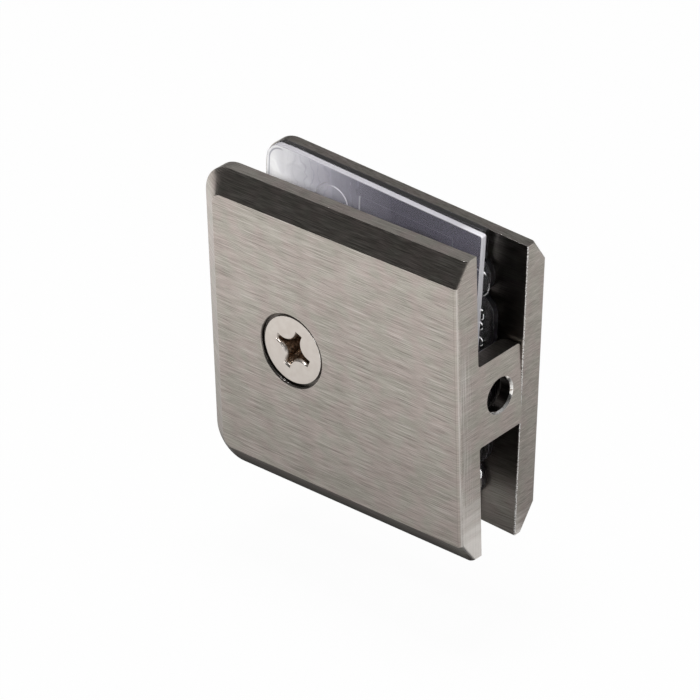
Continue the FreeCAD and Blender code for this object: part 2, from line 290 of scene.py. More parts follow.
def brushed_finish_group():
    """Satin nickel with streaks, hairlines, slanting scratches and faint patches. Painted shade darkens
    the narrow top face and, by Shade, the whole plate; painted light brightens the foot of the wall
    side, and painted lines of shade and highlight run on the rounded outer edge. The bevels that face
    down take painted light and shade, and the slot and the pocket take painted shade."""
    tree, given, made = new_group(
        "brushed_finish", ("Seed", "Web Reach", "Lit Foot Start", "Lit Foot Full", "Strokes", "Shade", "Top Shade"),
        ("Colour", "Roughness", "Relief"))
    place = add(tree, "TexCoord").outputs["Object"]
    spot, facing = by_axis(tree, "Object"), by_axis(tree, "Normal")
    streaks, shines, hairs, patches, scratches = (
        grain(tree, length, width, math_node(tree, "ADD", given["Seed"], step), slant)
        for length, width, step, slant in (streak_lines, shine_lines, hair_lines, patch_lines,
                                           scratch_lines))
    hairs = stretch(tree, hairs, *hair_span)
    patches = stretch(tree, patches, *patch_span)
    tone = math_node(tree, "ADD", product(tree, hairs, hair_share),
                     product(tree, patches, 1.0 - hair_share))
    colour = blend_colours(tree, tone, nickel_dark, nickel_light)
    cloud = add(tree, "TexNoise", {"Vector": place, "Scale": tint_scale, "Detail": tint_detail})
    cloud = stretch(tree, cloud.outputs[0], *tint_span)
    tint = blend_colours(tree, cloud, tint_green, tint_rose)
    colour = add(tree, "VectorMath", {0: colour, 1: tint}, operation="MULTIPLY").outputs[0]
    for share, over in (
            (stretch(tree, streaks, *streak_span, 0.0, streak_share), nickel_nick_and_shade),
            (stretch(tree, shines, *streak_span, 0.0, streak_share), nickel_shine),
            (stretch(tree, scratches, *scratch_span, 0.0, scratch_share), nickel_nick_and_shade),
            # The last two: a painted shade line and a painted highlight line on the rounded outer edge
            (painted_edge_line(tree, facing, shade_line_at, shade_line_span, shade_line_share), nickel_nick_and_shade),
            (painted_edge_line(tree, facing, highlight_line_at, highlight_line_span, highlight_line_share), nickel_polish_and_highlight)):
        colour = blend_colours(tree, share, colour, over)
    # Painted shade on the narrow top face, and over the whole plate by Shade
    on_top = math_node(tree, "GREATER_THAN", facing[2], top_facing)
    colour = scaled(tree, colour, stretch(tree, on_top, 0.0, 1.0, given["Shade"], given["Top Shade"]))
    # Painted light over the foot of the wall side, and bright strokes beside the outer edge
    lit_foot = lit_foot_and_strokes(tree, place, spot, facing, patches, given)
    colour = blend_colours(tree, lit_foot, colour, nickel_polish_and_highlight)
    # Painted light and shade on the bevels that face down
    colour = scaled(tree, colour, underside_painted_light(tree, spot, facing))
    dim = math_node(tree, "MAXIMUM", stretch(tree, spot[0], *slot_free_side, 1.0, slot_shade),
                    stretch(tree, spot[2], *slot_foot, slot_foot_shade, slot_shade))
    in_slot = inside_slot(tree, spot, facing, given["Web Reach"])
    colour = blend_colours(tree, in_slot, colour, scaled(tree, colour, dim))
    in_pocket = inside_pocket(tree, spot)
    colour = blend_colours(tree, in_pocket, colour, scaled(tree, colour, pocket_shade))
    tree.links.new(colour, made["Colour"])
    tree.links.new(stretch(tree, hairs, 0.0, 1.0, *satin_roughness), made["Roughness"])
    tree.links.new(streaks, made["Relief"])
    return tree


brushed_finish = brushed_finish_group()


def new_material(name, sockets):
    """Material with one Principled shader; sockets gives that shader's values for a node tree."""
    material = bpy.data.materials.new(name)
    material.use_nodes = True
    tree = material.node_tree
    tree.nodes.clear()
    shader = add(tree, "BsdfPrincipled", sockets(tree))
    add(tree, "OutputMaterial", {0: shader.outputs[0]})
    return material


def relief(tree, height, distance, strength=1.0):
    """Normal of a surface with fine relief."""
    return add(tree, "Bump", {"Strength": strength, "Distance": distance, "Height": height}).outputs[0]


def brushed_nickel(name, values):
    """One plate's brushed finish, with its own values."""
    def sockets(tree):
        finish = add(tree, "Group", values, node_tree=brushed_finish).outputs
        along = add(tree, "VectorTransform", {0: brush_direction}, vector_type="VECTOR",
                    convert_from="OBJECT", convert_to="WORLD").outputs[0]
        return {"Base Color": finish["Colour"], "Metallic": 1.0, "Roughness": finish["Roughness"],
                "Anisotropic": brush_pull, "Tangent": along,
                "Normal": relief(tree, finish["Relief"], streak_relief)}
    return new_material(name, sockets)


def edge_wear_group():
    """Where the polish has gone over an edge: brighter and smoother, with small burrs."""
    tree, given, made = new_group("edge_wear", ("Seed",), ("Colour", "Roughness", "Relief"))
    nicks = grain(tree, *nick_size, given["Seed"])
    bright = stretch(tree, nicks, *nick_span)
    tree.links.new(blend_colours(tree, bright, nickel_light, nickel_polish_and_highlight), made["Colour"])
    tree.links.new(stretch(tree, bright, 0.0, 1.0, *edge_roughness), made["Roughness"])
    tree.links.new(nicks, made["Relief"])
    return tree


edge_wear = edge_wear_group()


def worn_edge(name, seed):
    """Polished edges of one piece, with its own burrs."""
    def sockets(tree):
        wear = add(tree, "Group", {"Seed": seed}, node_tree=edge_wear).outputs
        return {"Base Color": wear["Colour"], "Metallic": 1.0, "Roughness": wear["Roughness"],
                "Normal": relief(tree, wear["Relief"], nick_relief)}
    return new_material(name, sockets)


def cut_mouth():
    """Chamfer of the wall screw's hole, cut after the brushing and bright."""
    def sockets(tree):
        bright = stretch(tree, grain(tree, *turned_size, turned_seed), *turned_span)
        return {"Base Color": blend_colours(tree, bright, nickel_dark, mouth_shine), "Metallic": 1.0,
                "Roughness": mouth_roughness}
    return new_material("cut_mouth", sockets)


def new_object(name, data):
    """Object with its data, in the scene."""
    thing = bpy.data.objects.new(name, data)
    bpy.context.scene.collection.objects.link(thing)
    return thing


def new_piece(name, mesh):
    """Piece whose broad flat faces keep their shading flat beside its small rounds."""
    piece = new_object(name, mesh)
    weights = piece.modifiers.new("flat_faces", "WEIGHTED_NORMAL")
    weights.keep_sharp = True
    return piece


def broken_edges(node, name, width, sharp_angle, first=None, first_width=0, reshape=None):
    """Copy of a CAD node with its sharp edges rounded; the rounds take the second material.
    The edges that the test called first picks are rounded before the rest, with the third."""
    work = bmesh.new()
    work.from_mesh(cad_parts[node].data)
    bmesh.ops.remove_doubles(work, verts=work.verts, dist=weld_distance)
    bmesh.ops.dissolve_limit(work, angle_limit=flat_angle, verts=work.verts, edges=work.edges)
    if reshape:
        reshape(work)
    for offset, material, wanted in ((first_width, 2, first), (width, 1, lambda edge: True)):
        sharp = [edge for edge in work.edges
                 if len(edge.link_faces) == 2 and edge.calc_face_angle() > sharp_angle
                 and wanted and wanted(edge)]
        bmesh.ops.bevel(work, geom=sharp, offset=offset, segments=round_steps, profile=0.5,
                        affect="EDGES", clamp_overlap=True, material=material)
    mesh = bpy.data.meshes.new(name)
    work.to_mesh(mesh)
    work.free()
    for face in mesh.polygons:
        face.use_smooth = True
    mesh.set_sharp_from_angle(angle=shading_angle)
    return new_piece(name, mesh)


def place_piece(piece, body, node, materials):
    """Gives a piece its materials, its body and the CAD node that it takes the place of."""
    for material in materials:
        piece.data.materials.append(material)
    if node:
        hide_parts(node)
    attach(piece, body)


# Front plate: painted light over the foot of its wall side, painted shade on its top face
front_finish = {"Seed": front_seed, "Web Reach": web_side, "Lit Foot Start": front_lit_foot[0],
                "Lit Foot Full": front_lit_foot[1], "Strokes": 1.0, "Shade": 1.0, "Top Shade": top_shade}
front_plate = broken_edges("front_plate", "front_plate_brushed", plate_edge_round, plate_sharp_angle)
place_piece(front_plate, "base", "front_plate",
            [brushed_nickel("front_nickel", front_finish), worn_edge("front_edges", front_seed),
             cut_mouth()])
for face in front_plate.data.polygons:
    in_mouth = math.hypot(face.center.y, face.center.z) < bore_mouth
    if in_mouth and mouth_lean[0] < face.normal.x < mouth_lean[1]:
        face.material_index = 2


# Rear plate
# The same kind of plate turned round and loose on the screw, with its own brush marks, and a
# long inner edge that was left as the saw tore it.

rear_seed = 23.0
# Painted light over the foot of the wall side; painted shade over the plate and more on its top face
rear_lit_foot = (-0.0224, -0.0264)
rear_shade = 0.90
rear_top_shade = 0.58
burr_width = 0.00020
burr_reach = 0.040
burr_side = -0.002
burr_size, burr_span, burr_seed = (0.0004, 0.00022), (0.40, 0.54), 40.0
burr_dark = (0.20, 0.18, 0.16, 1)
burr_light = (0.97, 0.96, 0.95, 1)
burr_roughness = 0.22
burr_relief = 0.00008


def on_inner_wall_edge(edge):
    """The long upright edge between the inner face and the wall side."""
    start, end = (vert.co for vert in edge.verts)
    return (start - end).length > burr_reach and min(start.x, end.x) > burr_side


def sawn_burr():
    """Torn bright edge left by the saw, broken up along its length."""
    def sockets(tree):
        torn = grain(tree, *burr_size, burr_seed)
        bright = stretch(tree, torn, *burr_span)
        return {"Base Color": blend_colours(tree, bright, burr_dark, burr_light), "Metallic": 1.0,
                "Roughness": burr_roughness, "Normal": relief(tree, torn, burr_relief)}
    return new_material("sawn_burr", sockets)


rear_finish = {"Seed": rear_seed, "Web Reach": 0.0, "Lit Foot Start": rear_lit_foot[0],
               "Lit Foot Full": rear_lit_foot[1], "Strokes": 0.0, "Shade": rear_shade,
               "Top Shade": rear_top_shade}
back_plate = broken_edges("back_plate", "back_plate_brushed", plate_edge_round, plate_sharp_angle,
                          first=on_inner_wall_edge, first_width=burr_width)
place_piece(back_plate, "back_plate", "back_plate",
            [brushed_nickel("back_nickel", rear_finish), worn_edge("back_edges", rear_seed),
             sawn_burr()])


# Clamp screw
# A flat-headed machine screw, turned, thread rolled and nickel plated smooth, with a cross
# recess punched in its head. It passes the front plate and the gaskets and grips the rear plate.

head_radius = 0.005575
head_edge_round = 0.00010
head_edge_steps = 4
head_land = 0.00035
shank_radius = 0.00300
thread_pitch = 0.00100
thread_depth = 0.00058
thread_crest = 0.10
thread_root = 0.80
tip_taper = 0.00060
turn_steps = 96
rows_a_pitch = 14

# Cross recess: depth, half span, half width of an arm, curve between two arms
cross_depth = 0.0030
pit_depth = 0.0033
cross_rings = (
    (-0.0002, 0.00340, 0.00064, 0.00220),
    (0.0, 0.00340, 0.00064, 0.00220),
    (0.00050, 0.00320, 0.00043, 0.00215),
    (cross_depth, 0.00165, 0.00026, 0.00100),
    (pit_depth, 0.00070, 0.00011, 0.00045))
cross_turn = math.radians(-23.0)
cross_curve_steps = 8
cross_edge_round = 0.00007
cross_sharp_angle = math.radians(30)
coined_depth = 0.00045
# Depth down to which the recess takes its painted shade
shaded_recess_depth = 0.00345
cone_margin = 0.0006
mouth_reach = 0.8 * head_radius
rim_reach = head_radius - 1.2 * head_edge_round
screw_shading_angle = math.radians(42)

screw_light = (0.79, 0.735, 0.685, 1)
screw_dark = (0.73, 0.67, 0.62, 1)
screw_scale, screw_span = 900.0, (0.35, 0.65)
screw_roughness = (0.30, 0.36)
screw_relief, screw_relief_strength = 0.000008, 0.2
recess_light = (0.55, 0.43, 0.34, 1)
recess_dark = (0.20, 0.14, 0.095, 1)
recess_scale, recess_span = 2600.0, (0.4, 0.66)
recess_roughness = (0.42, 0.24)
recess_relief, recess_relief_strength = 0.00004, 0.6
cloud_detail = 2.0
head_rim_seed = 60.0


def soft_clouds_group():
    """Soft clouds of one size, from 0 to 1."""
    tree, given, made = new_group("soft_clouds", ("Scale",), ("Clouds",))
    place = add(tree, "TexCoord").outputs["Object"]
    values = {"Vector": place, "Scale": given["Scale"], "Detail": cloud_detail}
    tree.links.new(add(tree, "TexNoise", values).outputs[0], made["Clouds"])
    return tree


soft_clouds = soft_clouds_group()


def bright_nickel():
    """Smooth plating, faintly cloudy."""
    def sockets(tree):
        cloud = add(tree, "Group", {"Scale": screw_scale}, node_tree=soft_clouds).outputs["Clouds"]
        tone = stretch(tree, cloud, *screw_span)
        return {"Base Color": blend_colours(tree, tone, screw_dark, screw_light), "Metallic": 1.0,
                "Roughness": stretch(tree, cloud, *screw_span, *screw_roughness),
                "Normal": relief(tree, cloud, screw_relief, screw_relief_strength)}
    return new_material("bright_nickel", sockets)


def shaded_recess():
    """The recess, rough and in painted shade: dark brown, lighter in clouds."""
    def sockets(tree):
        cloud = add(tree, "Group", {"Scale": recess_scale}, node_tree=soft_clouds).outputs["Clouds"]
        cloud = stretch(tree, cloud, *recess_span)
        return {"Base Color": blend_colours(tree, cloud, recess_dark, recess_light), "Metallic": 1.0,
                "Roughness": stretch(tree, cloud, 0.0, 1.0, *recess_roughness),
                "Normal": relief(tree, cloud, recess_relief, recess_relief_strength)}
    return new_material("shaded_recess", sockets)


def skinned(name, rings, smooth=False):
    """Closed mesh over rings of points, with a flat cap at each end."""
    work = bmesh.new()
    loops = [[work.verts.new(spot) for spot in ring] for ring in rings]
    for first, second in zip(loops, loops[1:]):
        for step in range(len(first)):
            after = (step + 1) % len(first)
            work.faces.new((first[step], second[step], second[after], first[after]))
    work.faces.new(loops[0])
    work.faces.new(list(reversed(loops[-1])))
    bmesh.ops.recalc_face_normals(work, faces=work.faces)
    for face in work.faces:
        face.smooth = smooth
    mesh = bpy.data.meshes.new(name)
    work.to_mesh(mesh)
    work.free()
    return mesh


def clamped(value):
    """Value held between 0 and 1."""
    return min(1.0, max(0.0, value))


def thread_radius(y, turn, start, end):
    """Radius of the rolled thread at a height and an angle: flat crests and rounded roots."""
    phase = (y / thread_pitch - turn / (2 * math.pi)) % 1.0
    slope = clamped((abs(phase - 0.5) * 2 - thread_crest) / (thread_root - thread_crest))
    depth = thread_depth * (1 - math.cos(math.pi * slope)) / 2
    fade = clamped((y - start) / thread_pitch) * clamped((end - y) / thread_pitch)
    return shank_radius - depth * fade


def turned_screw(axis_x, head_y, tip_y):
    """Rings of points round the axis, from the head's rounded rim to the tapered tip."""
    cone_y = head_y + head_land
    neck_y = cone_y + head_radius - shank_radius
    thread_end = tip_y - tip_taper
    profile = [(head_y, head_radius - head_edge_round, False)]
    for step in range(1, head_edge_steps + 1):
        turn = math.pi / 2 * step / head_edge_steps
        profile.append((head_y + head_edge_round * (1 - math.cos(turn)),
                        head_radius - head_edge_round * (1 - math.sin(turn)), False))
    profile.append((cone_y, head_radius, False))
    profile.append((neck_y, shank_radius, False))
    rows = round((thread_end - neck_y) / thread_pitch * rows_a_pitch)
    for row in range(1, rows + 1):
        profile.append((neck_y + (thread_end - neck_y) * row / rows, shank_radius, True))
    profile.append((tip_y, shank_radius - tip_taper, False))
    rings = []
    for y, radius, threaded in profile:
        ring = []
        for step in range(turn_steps):
            turn = 2 * math.pi * step / turn_steps
            reach = thread_radius(y, turn, neck_y, thread_end + thread_pitch / 2) if threaded else radius
            ring.append((axis_x + reach * math.cos(turn), y, reach * math.sin(turn)))
        rings.append(ring)
    return skinned("clamp_screw_threaded", rings)


def cross_ring(axis_x, y, span, arm, curve):
    """Cross outline at one depth."""
    bend = arm + curve
    ring = []
    for quarter in range(4):
        turn = cross_turn + math.pi / 2 * quarter
        spots = [(span, -arm), (span, arm)]
        for step in range(cross_curve_steps + 1):
            angle = math.pi / 2 * step / cross_curve_steps
            spots.append((bend - curve * math.sin(angle), bend - curve * math.cos(angle)))
        for x, z in spots:
            ring.append((axis_x + x * math.cos(turn) - z * math.sin(turn), y,
                         x * math.sin(turn) + z * math.cos(turn)))
    return ring


def screw_with_recess(screw, axis_x, head_y):
    """Cuts the recess: a coined mouth, then leaning arms down to a rounded pit."""
    rings = [cross_ring(axis_x, head_y + sunk, span, arm, curve) for sunk, span, arm, curve in cross_rings]
    cutter = new_object("cross_cutter", skinned("cross_cutter", rings))
    cut = screw.modifiers.new("recess", "BOOLEAN")
    cut.object = cutter
    cut.operation = "DIFFERENCE"
    cut.solver = "EXACT"
    screw.modifiers.move(1, 0)
    work = bmesh.new()
    work.from_mesh(screw.evaluated_get(bpy.context.evaluated_depsgraph_get()).data)
    screw.modifiers.remove(cut)
    bpy.data.objects.remove(cutter)
    bmesh.ops.remove_doubles(work, verts=work.verts, dist=weld_distance)
    return work


def on_recess_mouth(edge, axis_x, head_y):
    """Sharp edges of the recess in the head's flat face."""
    spot = edge.verts[0].co
    return (len(edge.link_faces) == 2
            and all(abs(vert.co.y - head_y) < weld_distance for vert in edge.verts)
            and edge.calc_face_angle() > cross_sharp_angle
            and math.hypot(spot.x - axis_x, spot.z) < mouth_reach)


def clamp_screw_piece():
    """The turned screw with its recess cut, and the recess's mouth softened."""
    low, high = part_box("clamp_screw")
    head_y, axis_x = low[1], (low[0] + high[0]) / 2
    screw = new_piece("clamp_screw_threaded", turned_screw(axis_x, head_y, high[1]))
    work = screw_with_recess(screw, axis_x, head_y)
    mouth = [edge for edge in work.edges if on_recess_mouth(edge, axis_x, head_y)]
    bmesh.ops.bevel(work, geom=mouth, offset=cross_edge_round, segments=round_steps, profile=0.5,
                    affect="EDGES", clamp_overlap=True)
    for face in work.faces:
        middle = face.calc_center_median()
        sunk, reach = middle.y - head_y, math.hypot(middle.x - axis_x, middle.z)
        inner = reach < head_radius - sunk - cone_margin
        on_rim = reach > rim_reach and sunk < head_edge_round
        # Below the coined mouth the recess takes the painted shade
        in_recess = inner and coined_depth < sunk < shaded_recess_depth
        face.material_index = 1 if in_recess else 2 if on_rim else 0
        face.smooth = True
    work.to_mesh(screw.data)
    work.free()
    screw.data.set_sharp_from_angle(angle=screw_shading_angle)
    return screw


clamp_screw = clamp_screw_piece()
place_piece(clamp_screw, "screw", "clamp_screw",
            [bright_nickel(), shaded_recess(), worn_edge("head_rim", head_rim_seed)])


# Gaskets
# Two clear sheets of soft vinyl, moulded with shallow marks, that hang on the screw between the
# glass and the rear plate. The nearer one is plain at the wall side, the other is scalloped.

vinyl_round = 0.00014
vinyl_sharp_angle = math.radians(30)
gasket_left = -0.04795
gasket_top = 0.02555
gasket_corner = 0.0043
seen_corner = 0.0029
near_swing = math.radians(4.3)
far_swing = math.radians(3.6)
lean_from = -0.010
lean_still = 0.017
lean_floor = -0.014
near_bend = 0.046
sheet_facing = 0.95
edge_facing = 0.25

# How far the leaning sheets' faces move in y along x
rear_sheet_slope = 0.0236

# Tones: the sheet at the free side and at the wall, the edge at the free side and at the wall. Their change
# along x is painted light and shade.
near_lit_tones = ((0.94, 0.94, 0.945, 1), (0.64, 0.62, 0.74, 1),
              (0.46, 0.45, 0.48, 1), (0.68, 0.67, 0.70, 1))
far_tones = ((0.88, 0.88, 0.89, 1), (0.80, 0.80, 0.82, 1),
             (0.45, 0.44, 0.47, 1), (0.45, 0.44, 0.47, 1))

# Haze: of the sheet from the free side to the wall, of the rounded rim, of the edge. On the near
# sheet the haze falls from the free side to the wall as painted light at the open side. The strips
# of the sheet each end at an x and have one share of haze.
near_lit_haze = ((0.80, 0.09), 0.60, 0.68)
far_haze = ((0.03, 0.03), 0.20, 0.03)
near_lit_strips = ((-0.0415, 0.80), (-0.0375, 0.648), (-0.0335, 0.474), (-0.0285, 0.333),
               (-0.0225, 0.201), (0.0, 0.11))
far_strips = ((0.0, 0.03),)
shine_through = 0.10
sheet_light_fade = (-0.0445, -0.018)
edge_light_fade = (-0.0095, -0.0062)
haze_span, haze_low = (0.38, 0.62), 0.88
wave_scale, wave_detail, wave_distortion, wave_span = 420.0, 2.0, 0.6, (0.3, 0.7)
wave_relief = 0.0002
vinyl_ior = 1.45
near_gloss, far_gloss = 0.5, 0.25

# Roughness, and strength of the waves
sheet_finish = (0.10, 0.25)
rim_finish = (0.15, 0.2)
edge_finish = (0.30, 0.2)

# Line where the free side's edge shows through the sheet, and the creases beside it
rim_line = 0.00062
rim_line_width, rim_line_level = (0.00005, 0.00018), 0.45
rim_line_end = (-0.0005, 0.0010)
crease_from, crease_middle, crease_to = -0.043, -0.038, -0.028
crease_scale, crease_distortion, crease_detail, crease_fineness = 210.0, 9.0, 2.0, 1.6
crease_span, crease_depth = (0.0, 0.10), 0.20


def rim_band(tree, spot):
    """Less than 1 on the line where the free side's edge shows through the sheet, 1 elsewhere."""
    x = math_node(tree, "SUBTRACT", spot[0], screw_axis)
    turned_x = math_node(tree, "SUBTRACT", product(tree, x, math.cos(near_swing)),
                         product(tree, spot[2], math.sin(near_swing)))
    turned_z = math_node(tree, "ADD", product(tree, x, math.sin(near_swing)),
                         product(tree, spot[2], math.cos(near_swing)))
    past_x = math_node(tree, "SUBTRACT", gasket_left + seen_corner - screw_axis, turned_x)
    past_z = math_node(tree, "SUBTRACT", math_node(tree, "ABSOLUTE", turned_z),
                       gasket_top - seen_corner)
    out_x = math_node(tree, "MAXIMUM", past_x, 0.0)
    out_z = math_node(tree, "MAXIMUM", past_z, 0.0)
    out = add(tree, "CombineXYZ", {0: out_x, 1: out_z}).outputs[0]
    length = add(tree, "VectorMath", {0: out}, operation="LENGTH").outputs[1]
    inset = math_node(tree, "SUBTRACT", seen_corner, length)
    off_line = math_node(tree, "ABSOLUTE", math_node(tree, "SUBTRACT", inset, rim_line))
    line = stretch(tree, off_line, *rim_line_width, rim_line_level, 1.0)
    return math_node(tree, "MAXIMUM", line, stretch(tree, past_x, *rim_line_end, 1.0, 0.0))


def creases(tree, place, spot):
    """Share of the haze that wavy creases take away, in a band near the free side."""
    wave = add(tree, "TexWave", {"Vector": place, "Scale": crease_scale, "Distortion": crease_distortion,
                                 "Detail": crease_detail, "Detail Scale": crease_fineness},
               bands_direction="X").outputs[1]
    band = product(tree, stretch(tree, spot[0], crease_from, crease_middle),
                   stretch(tree, spot[0], crease_middle, crease_to, 1.0, 0.0))
    return product(tree, stretch(tree, wave, *crease_span, crease_depth, 0.0), band)


def vinyl_haze_light_group():
    """Haze inside the vinyl, 1 at the free side and 0 at the wall, which paints light at the open free
    side, and the surface's soft waves.
    """
    tree, given, made = new_group("vinyl_haze_light", ("Fade From", "Fade To"), ("Haze", "Waves"))
    place, spot = add(tree, "TexCoord").outputs["Object"], by_axis(tree, "Object")
    noise = add(tree, "TexNoise", {"Vector": place, "Scale": wave_scale, "Detail": wave_detail,
                                   "Distortion": wave_distortion}).outputs[0]
    haze = stretch(tree, spot[0], given["Fade From"], given["Fade To"], 1.0, 0.0)
    haze = product(tree, product(tree, haze, haze), rim_band(tree, spot))
    haze = product(tree, haze, math_node(tree, "SUBTRACT", 1.0, creases(tree, place, spot)))
    haze = product(tree, haze, stretch(tree, noise, *haze_span, haze_low, 1.0))
    tree.links.new(haze, made["Haze"])
    tree.links.new(stretch(tree, noise, *wave_span), made["Waves"])
    return tree


vinyl_haze_light = vinyl_haze_light_group()


def clear_vinyl(name, tones, haze, own_haze, finish, gloss, fade):
    """Moulded vinyl: wavy and glossy. Its own haze is one plain share; where the haze of the sheet
    differs from it, the colour makes up for the difference. Colour and haze change along x as painted
    light and shade."""
    veil_left, veil_right, veil = (share + (1 - share) * shine_through
                                   for share in (haze[0], haze[1], own_haze))

    def sockets(tree):
        effect = add(tree, "Group", {"Fade From": fade[0], "Fade To": fade[1]},
                     node_tree=vinyl_haze_light).outputs
        # Colour follows the haze along x, as painted light and shade
        colour = blend_colours(tree, effect["Haze"], tones[1], tones[0])
        evened = stretch(tree, effect["Haze"], 0.0, 1.0, veil_right / veil, veil_left / veil)
        return {"Base Color": scaled(tree, colour, evened), "Roughness": finish[0],
                "IOR": vinyl_ior, "Transmission Weight": 1 - own_haze, "Specular IOR Level": gloss,
                "Normal": relief(tree, effect["Waves"], wave_relief, finish[1])}
    return new_material(name, sockets)


def sharper_corners(work, swing):
    """Draws the free side's corners out to the tighter curve that the photo shows."""
    turn_cos, turn_sin = math.cos(swing), math.sin(swing)
    for vert in work.verts:
        x, z = vert.co.x - screw_axis, vert.co.z
        flat_x, flat_z = x * turn_cos - z * turn_sin + screw_axis, x * turn_sin + z * turn_cos
        side = math.copysign(1, flat_z)
        from_x = flat_x - (gasket_left + gasket_corner)
        from_z = flat_z - side * (gasket_top - gasket_corner)
        if from_x > weld_distance or from_z * side < -weld_distance:
            continue
        length = math.hypot(from_x, from_z)
        share = (length - gasket_corner + seen_corner) / length
        drawn_x = gasket_left + seen_corner + from_x * share - screw_axis
        drawn_z = side * (gasket_top - seen_corner) + from_z * share
        new_x = drawn_x * turn_cos + drawn_z * turn_sin + screw_axis
        vert.co.y += rear_sheet_slope * (new_x - vert.co.x)
        vert.co.x = new_x
        vert.co.z = min(-drawn_x * turn_sin + drawn_z * turn_cos, cad_box[1][2])


def relaxed(work, swing, bend):
    """The soft sheet as it hangs: tighter free corners, and a wall side that leans a little
    outwards at its top and inwards below."""
    sharper_corners(work, swing)
    for vert in work.verts:
        if vert.co.x > lean_from:
            vert.co.x += bend * max(lean_floor, vert.co.z - lean_still)


def cut_in_strips(mesh, ends):
    """Divides the sheet's faces at the strips' ends, without a change of shape."""
    work = bmesh.new()
    work.from_mesh(mesh)
    for end in ends:
        bmesh.ops.bisect_plane(work, geom=work.verts[:] + work.edges[:] + work.faces[:],
                               dist=weld_distance, plane_co=(end, 0, 0), plane_no=(1, 0, 0))
    work.to_mesh(mesh)
    work.free()


def gasket_piece(node, tones, hazes, strips, swing, bend, gloss):
    """Moulded sheet: a rounded rim that catches the light, the cut edge, and flat faces in strips
    of haze."""
    sheet = broken_edges(node, node + "_vinyl", vinyl_round, vinyl_sharp_angle,
                         reshape=lambda work: relaxed(work, swing, bend))
    sheet_haze, rim_haze, edge_haze = hazes
    materials = [
        clear_vinyl(node + "_rim", tones[2:], (rim_haze, rim_haze), rim_haze, rim_finish, gloss,
                    edge_light_fade),
        clear_vinyl(node + "_edge", tones[2:], (edge_haze, edge_haze), edge_haze, edge_finish, gloss,
                    edge_light_fade)]
    materials += [clear_vinyl(node + "_sheet", tones[:2], sheet_haze, share, sheet_finish, gloss,
                              sheet_light_fade) for end, share in strips]
    place_piece(sheet, node, node, materials)
    ends = [end for end, share in strips[:-1]]
    cut_in_strips(sheet.data, ends)
    for face in sheet.data.polygons:
        across = abs(face.normal.y)
        strip = 2 + sum(face.center.x > end for end in ends)
        face.material_index = strip if across > sheet_facing else 1 if across < edge_facing else 0
    return sheet


front_gasket = gasket_piece("front_gasket", near_lit_tones, near_lit_haze, near_lit_strips, near_swing, near_bend,
                            near_gloss)
gasket_piece("rear_gasket", far_tones, far_haze, far_strips, far_swing, 0.0, far_gloss)


# Beads of the rear gasket
# Two rings and three studs of the same vinyl, moulded on the gasket's scalloped side. Each is
# built only where it catches the light, as a painted glint: a thin raised arc of milky white vinyl
# with pointed ends, and all but the lower ring have a fainter arc beside it.

# The rear sheet's face at x = 0
rear_sheet_offset = 0.00374

ring_radius = 0.00255
upper_ring = (-0.0074, 0.0151)
lower_ring = (-0.0095, -0.0181)
stud_radius = 0.00075
stud_x = -0.00694
first_stud_x = -0.00672
bead_thick, bead_fine, bead_thin, bead_faint = 0.00014, 0.00010, 0.00006, 0.00003
bead_sunk = 0.00003
bead_glint_haze = 0.65
bead_finish = (0.25, 0.1)
bead_point = 0.1
bead_point_rise = 5
bead_round_steps = 10
bead_arc_steps = 40

# Name, centre, radius, first and last angle, thickness
bead_arcs = (
    ("upper_ring", upper_ring, ring_radius, 34, 112, bead_thick),
    ("upper_ring_side", upper_ring, ring_radius, -80, 30, bead_faint),
    ("lower_ring", lower_ring, ring_radius, -20, 20, bead_thick),
    ("stud_1", (first_stud_x, 0.0099), stud_radius, 35, 85, bead_thick),
    ("stud_1_side", (first_stud_x, 0.0095), stud_radius, -75, 40, bead_thin),
    ("stud_2", (stud_x, 0.0077), stud_radius, 16, 108, bead_thick),
    ("stud_2_side", (stud_x, 0.0077), stud_radius, -85, -5, bead_thin),
    ("stud_3", (stud_x, 0.0050), stud_radius, 8, 100, bead_fine),
    ("stud_3_side", (stud_x, 0.0050), stud_radius, -80, -10, bead_thin))

# Milky white vinyl of the painted glints
bead_glint_vinyl = clear_vinyl("bead_glint_vinyl", (near_lit_tones[0], near_lit_tones[0]), (bead_glint_haze, bead_glint_haze),
                         bead_glint_haze, bead_finish, near_gloss, edge_light_fade)


def bead(name, centre, radius, start, end, thick):
    """One arc with pointed ends, its middle sunk just below the sheet's face."""
    rings = []
    for step in range(bead_arc_steps + 1):
        share = step / bead_arc_steps
        turn = math.radians(start + (end - start) * share)
        half = thick * max(bead_point, min(1.0, share * bead_point_rise, (1 - share) * bead_point_rise))
        ring = []
        for part in range(bead_round_steps):
            around = 2 * math.pi * part / bead_round_steps
            reach = radius + half * math.cos(around)
            x = centre[0] + reach * math.cos(turn)
            z = centre[1] + reach * math.sin(turn)
            sheet_y = rear_sheet_offset + rear_sheet_slope * x + bead_sunk
            ring.append((x, sheet_y - half * math.sin(around), z))
        rings.append(ring)
    piece = new_object(name, skinned(name, rings, smooth=True))
    place_piece(piece, "rear_gasket", None, [bead_glint_vinyl])
    return piece


beads = [bead(*arc) for arc in bead_arcs]


# Studio
# A pale floor and a white surround. Metal and vinyl see the room at the levels that a small
# photographic tent gives, and in the floor a painted shadow close under the clamp and painted light
# further out.

floor_level = -0.042
floor_size = 12.0
clamp_middle = 0.025
white = (1, 1, 1, 1)
paper_white = (0.9, 0.9, 0.9, 1)
mirrored_white = (1.0, 0.99, 0.975, 1)
camera_share = 0.97

